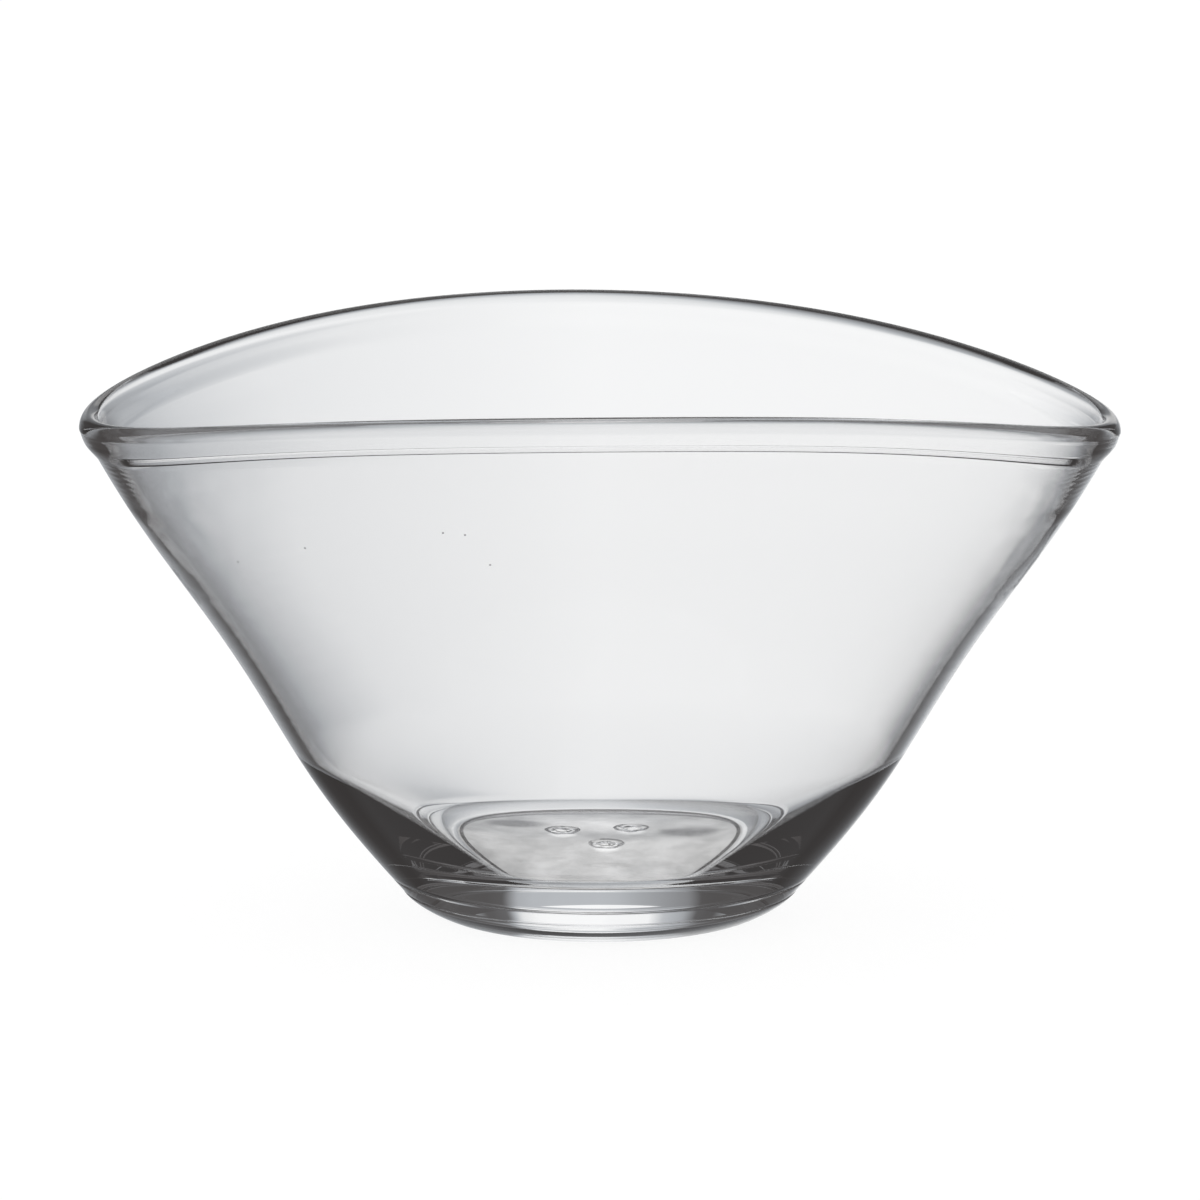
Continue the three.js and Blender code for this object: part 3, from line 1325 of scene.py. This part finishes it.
@dataclass
class Studio:
    """A white table, soft white surroundings and the camera."""

    distance: float = 3.5
    elevation: float = 10.7
    look_height: float = 91.1 * MM
    pixels_per_mm: float = 3.463
    dark: tuple[float, float, float] = (0.050, 0.046, 0.045)
    middle: tuple[float, float, float] = (0.475, 0.496, 0.522)
    white: tuple[float, float, float] = (0.990, 0.996, 1.000)
    table_glow: float = 0.9
    table_white: float = 0.13
    table_half: float = 4.0
    under_foot: float = 0.4
    under_radius: float = 44 * MM
    under_corners: int = 96
    under_drop: float = 0.1 * MM
    under_cloud: float = 0.22
    cloud_scale: float = 70.0
    cloud_detail: float = 4.0
    cloud_roughness: float = 0.6
    cloud_edge: tuple[float, float] = (0.35, 0.65)
    patch_share: float = 0.5
    under_light: Sequence[LightPatch] = UNDER_FOOT_LIGHT
    sweeps: Sequence[Sweep] = (LOWER_SWEEP, UPPER_SWEEP, GLOW)
    paper: PaperRound = PaperRound()
    sensor_width: float = 36.0
    farthest: float = 100.0

    def table(self) -> bpy.types.Object:
        """Lays the white table, which keeps a faint shadow.

        Returns:
            The table.
        """
        half = self.table_half
        corners = [(-half, -half, 0), (half, -half, 0), (half, half, 0), (-half, half, 0)]
        made, sheet = new_face("white_table", corners)
        lit = sheet.node("ShaderNodeBsdfDiffuse", None, {"Color": (*[self.table_white] * 3, 1)})
        glow = sheet.node("ShaderNodeEmission", None, {"Strength": self.table_glow})
        sheet.finish(sheet.node("ShaderNodeAddShader", None, {0: lit.outputs[0], 1: glow.outputs[0]}))
        made.visible_transmission = False
        made.visible_glossy = False
        return made

    def shade(self) -> bpy.types.Object:
        """Lays the shaded patch of table under the foot, which is seen only through the glass.

        Returns:
            The patch.
        """
        angles = np.linspace(0, TURN, self.under_corners, endpoint=False)
        ring = self.under_radius * np.stack([np.cos(angles), np.sin(angles), 0 * angles], -1)
        made, sheet = new_face("shaded_table", ring.tolist())
        made.location.z = -self.under_drop
        place = sheet.value("ShaderNodeTexCoord", output="Object")
        clouds = sheet.noise(place, self.cloud_scale, self.cloud_detail, self.cloud_roughness)
        level = clouds.ease(*self.cloud_edge) * self.under_cloud + self.under_foot
        for patch in self.under_light:
            level = level + patch.change(sheet, place) * (self.patch_share + clouds)
        level = level.smaller(1.0)
        colour = sheet.value("ShaderNodeCombineColor", None, {"Red": level, "Green": level, "Blue": level})
        sheet.finish(sheet.node("ShaderNodeEmission", None, {"Color": colour}))
        made.visible_camera = False
        made.visible_diffuse = False
        made.visible_shadow = False
        return made

    def surroundings(self) -> None:
        """Sets the world: white light all round, and bright and dark stretches for the glass."""
        world = bpy.data.worlds.new("studio")
        bpy.context.scene.world = world
        world.use_nodes = True
        sheet = Sheet(world.node_tree)
        direction = sheet.value("ShaderNodeTexCoord", output="Generated")
        level = reduce(Value.larger, [sweep.level(sheet, direction) for sweep in self.sweeps])
        path = sheet.node("ShaderNodeLightPath")
        straight = Value(sheet, path.outputs["Glossy Depth"]).ease(1, 0)
        level = level.larger(self.paper.level(sheet, direction) * straight)
        tones = ((0.0, (*self.dark, 1)), (0.5, (*self.middle, 1)), (1.0, (*self.white, 1)))
        seen = sheet.value("ShaderNodeValToRGB", {"stops": tones}, {"Fac": level})
        glossy = Value(sheet, path.outputs["Is Glossy Ray"])
        through = glossy.larger(Value(sheet, path.outputs["Is Transmission Ray"]))
        colour = sheet.blend(through, (1, 1, 1, 1), seen)
        sheet.finish(sheet.node("ShaderNodeBackground", None, {"Color": colour}), "ShaderNodeOutputWorld")

    def camera(self) -> bpy.types.Object:
        """Sets the camera at the photograph's viewing angle.

        Returns:
            The camera.
        """
        data = bpy.data.cameras.new("photo_camera")
        made = new_object("photo_camera", data)
        rise = math.radians(self.elevation)
        back = Vector((0, -math.cos(rise), math.sin(rise)))
        made.location = Vector((0, 0, self.look_height)) + back * self.distance
        made.rotation_euler = (-back).to_track_quat("-Z", "Y").to_euler()
        focal_pixels = self.pixels_per_mm * self.distance / MM
        data.sensor_width = self.sensor_width
        data.lens = self.sensor_width * focal_pixels / PHOTO_SIDE
        data.clip_end = self.farthest
        bpy.context.scene.camera = made
        return made

    def build(self) -> None:
        """Sets up table, light, camera and the plain view transform."""
        bpy.context.scene.view_settings.view_transform = "Standard"
        self.table()
        self.shade()
        self.surroundings()
        self.camera()


def main() -> None:
    """Builds the bowl piece by piece, then the studio."""
    logging.basicConfig(level=logging.INFO, format="%(message)s")
    form = OvalForm.from_frame()
    joint = FusedJoint().material()
    finishes = (ClearGlass().material(), joint)
    scar_finishes = (ScarGlassWithPaintedShade().material(), joint)
    foot = Foot(form)
    pieces = [BowlBody(form), FoldedLip(form), foot]
    for number, spot in enumerate(foot.scars, 1):
        scar = PontilScar(form, f"iron_mark_{number}", f"pontil_scar_{number}", foot=foot, spot=spot)
        pieces.append(scar)
    for piece in pieces:
        piece.dress(scar_finishes if isinstance(piece, PontilScar) else finishes)
    Studio().build()


if __name__ == "__main__":
    main()
